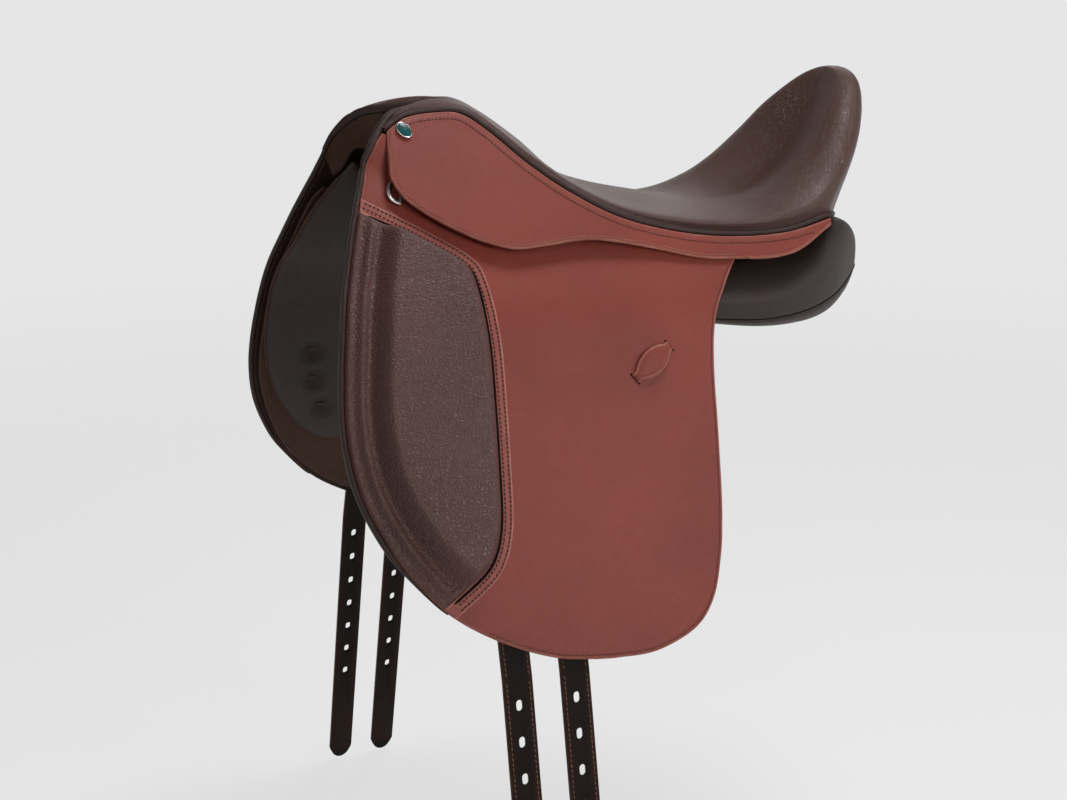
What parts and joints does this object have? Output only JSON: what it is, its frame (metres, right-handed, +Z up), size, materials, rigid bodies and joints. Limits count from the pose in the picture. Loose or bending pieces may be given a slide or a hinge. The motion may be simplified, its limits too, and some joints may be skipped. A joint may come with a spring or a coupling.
{
  "type": "dressage saddle",
  "caption": "English dressage saddle: padded deep seat on a sprung tree, skirts, long straight flaps with outer knee blocks, wool panels and long girth straps.",
  "frame": {"origin": "on the centre line in the channel between the panels, under the deepest point of the seat", "axes": "+Z up, -X towards the pommel, +Y to the rider's right"},
  "size_m": [0.547, 0.6214, 0.7724],
  "materials": {
    "tree": "satin",
    "steel": "brushed",
    "webbing": "woven",
    "foam": "matt",
    "seat_leather": "fine grain, semi-matt",
    "flap_leather": "smooth, satin",
    "block_leather": "pebbled grain",
    "panel_leather": "soft, matt",
    "strap_leather": "smooth, satin",
    "enamel": "glossy"
  },
  "bodies": {
    "saddle": {"tree_frame": "tree", "head_plate": "steel", "head_rivets": "steel", "tree_spring_left": "steel", "tree_spring_right": "steel", "seat_webbing": "webbing", "seat_foam": "foam", "seat_cover": "seat_leather", "pommel_roll": "seat_leather", "head_lining": "panel_leather", "seat_welt_left": "flap_leather", "seat_welt_right": "flap_leather", "stirrup_bar_left": "steel", "stirrup_bar_right": "steel", "bar_rivets_left": "steel", "bar_rivets_right": "steel", "skirt_left": "flap_leather", "skirt_right": "flap_leather", "saddle_stud_left": "enamel", "saddle_stud_right": "enamel", "flap_top_left": "flap_leather", "flap_top_right": "flap_leather", "sweat_flap_left": "block_leather", "sweat_flap_right": "block_leather", "front_panel_left": "panel_leather", "front_panel_right": "panel_leather", "rear_panel_left": "panel_leather", "rear_panel_right": "panel_leather", "gullet_strip": "panel_leather", "point_pocket_left": "block_leather", "point_pocket_right": "block_leather", "girth_web_left": "webbing", "girth_web_right": "webbing", "billet_front_left": "strap_leather", "billet_front_right": "strap_leather", "billet_rear_left": "strap_leather", "billet_rear_right": "strap_leather"},
    "catch_left": {"stirrup_catch_left": "steel"},
    "catch_right": {"stirrup_catch_right": "steel"},
    "skirt_left": {"skirt_lobe_left": "flap_leather"},
    "skirt_right": {"skirt_lobe_right": "flap_leather"},
    "flap_left": {"flap_left": "flap_leather", "knee_block_left": "block_leather", "flap_welt_left": "block_leather", "keeper_left": "flap_leather", "dee_chape_left": "flap_leather"},
    "flap_right": {"flap_right": "flap_leather", "knee_block_right": "block_leather", "flap_welt_right": "block_leather", "keeper_right": "flap_leather", "dee_chape_right": "flap_leather"},
    "dee_left": {"dee_ring_left": "steel"},
    "dee_right": {"dee_ring_right": "steel"},
    "tail_front_left": {"billet_tail_front_left": "strap_leather"},
    "tail_front_right": {"billet_tail_front_right": "strap_leather"},
    "tail_rear_left": {"billet_tail_rear_left": "strap_leather"},
    "tail_rear_right": {"billet_tail_rear_right": "strap_leather"}
  },
  "joints": [
    {"name": "flap_lift_left", "type": "hinge", "parent": "saddle", "child": "flap_left", "pos_m": [-0.14342, -0.10469, 0.08046], "axis": [-0.9535, 0.192, 0.2322], "range_deg": [0, 75]},
    {"name": "flap_lift_right", "type": "hinge", "parent": "saddle", "child": "flap_right", "pos_m": [-0.14342, 0.10469, 0.08046], "axis": [0.9535, 0.192, -0.2322], "range_deg": [0, 75]},
    {"name": "skirt_lift_left", "type": "hinge", "parent": "flap_left", "child": "skirt_left", "pos_m": [-0.14342, -0.10469, 0.08046], "axis": [-0.9535, 0.192, 0.2322], "range_deg": [0, 50]},
    {"name": "skirt_lift_right", "type": "hinge", "parent": "flap_right", "child": "skirt_right", "pos_m": [-0.14342, 0.10469, 0.08046], "axis": [0.9535, 0.192, -0.2322], "range_deg": [0, 50]},
    {"name": "catch_turn_left", "type": "hinge", "parent": "saddle", "child": "catch_left", "pos_m": [-0.13651, -0.08635, 0.09365], "axis": [-0.0382, -0.8416, 0.5388], "range_deg": [0, 90]},
    {"name": "catch_turn_right", "type": "hinge", "parent": "saddle", "child": "catch_right", "pos_m": [-0.13651, 0.08635, 0.09365], "axis": [0.0382, -0.8416, -0.5388], "range_deg": [0, 90]},
    {"name": "dee_swing_left", "type": "hinge", "parent": "flap_left", "child": "dee_left", "pos_m": [-0.25481, -0.07977, 0.09554], "axis": [0.2988, 0.5049, 0.8098], "range_deg": [0, 12]},
    {"name": "dee_swing_right", "type": "hinge", "parent": "flap_right", "child": "dee_right", "pos_m": [-0.25481, 0.07977, 0.09554], "axis": [-0.2988, 0.5049, -0.8098], "range_deg": [0, 12]},
    {"name": "billet_front_swing_left", "type": "hinge", "parent": "saddle", "child": "tail_front_left", "pos_m": [-0.21434, -0.22956, -0.27734], "axis": [-0.999, 0.0454, 0], "range_deg": [-30, 35]},
    {"name": "billet_front_swing_right", "type": "hinge", "parent": "saddle", "child": "tail_front_right", "pos_m": [-0.21434, 0.22956, -0.27734], "axis": [0.999, 0.0454, 0], "range_deg": [-30, 35]},
    {"name": "billet_rear_swing_left", "type": "hinge", "parent": "saddle", "child": "tail_rear_left", "pos_m": [-0.16539, -0.23178, -0.27734], "axis": [-0.999, 0.0454, 0], "range_deg": [-30, 35]},
    {"name": "billet_rear_swing_right", "type": "hinge", "parent": "saddle", "child": "tail_rear_right", "pos_m": [-0.16539, 0.23178, -0.27734], "axis": [0.999, 0.0454, 0], "range_deg": [-30, 35]}
  ]
}
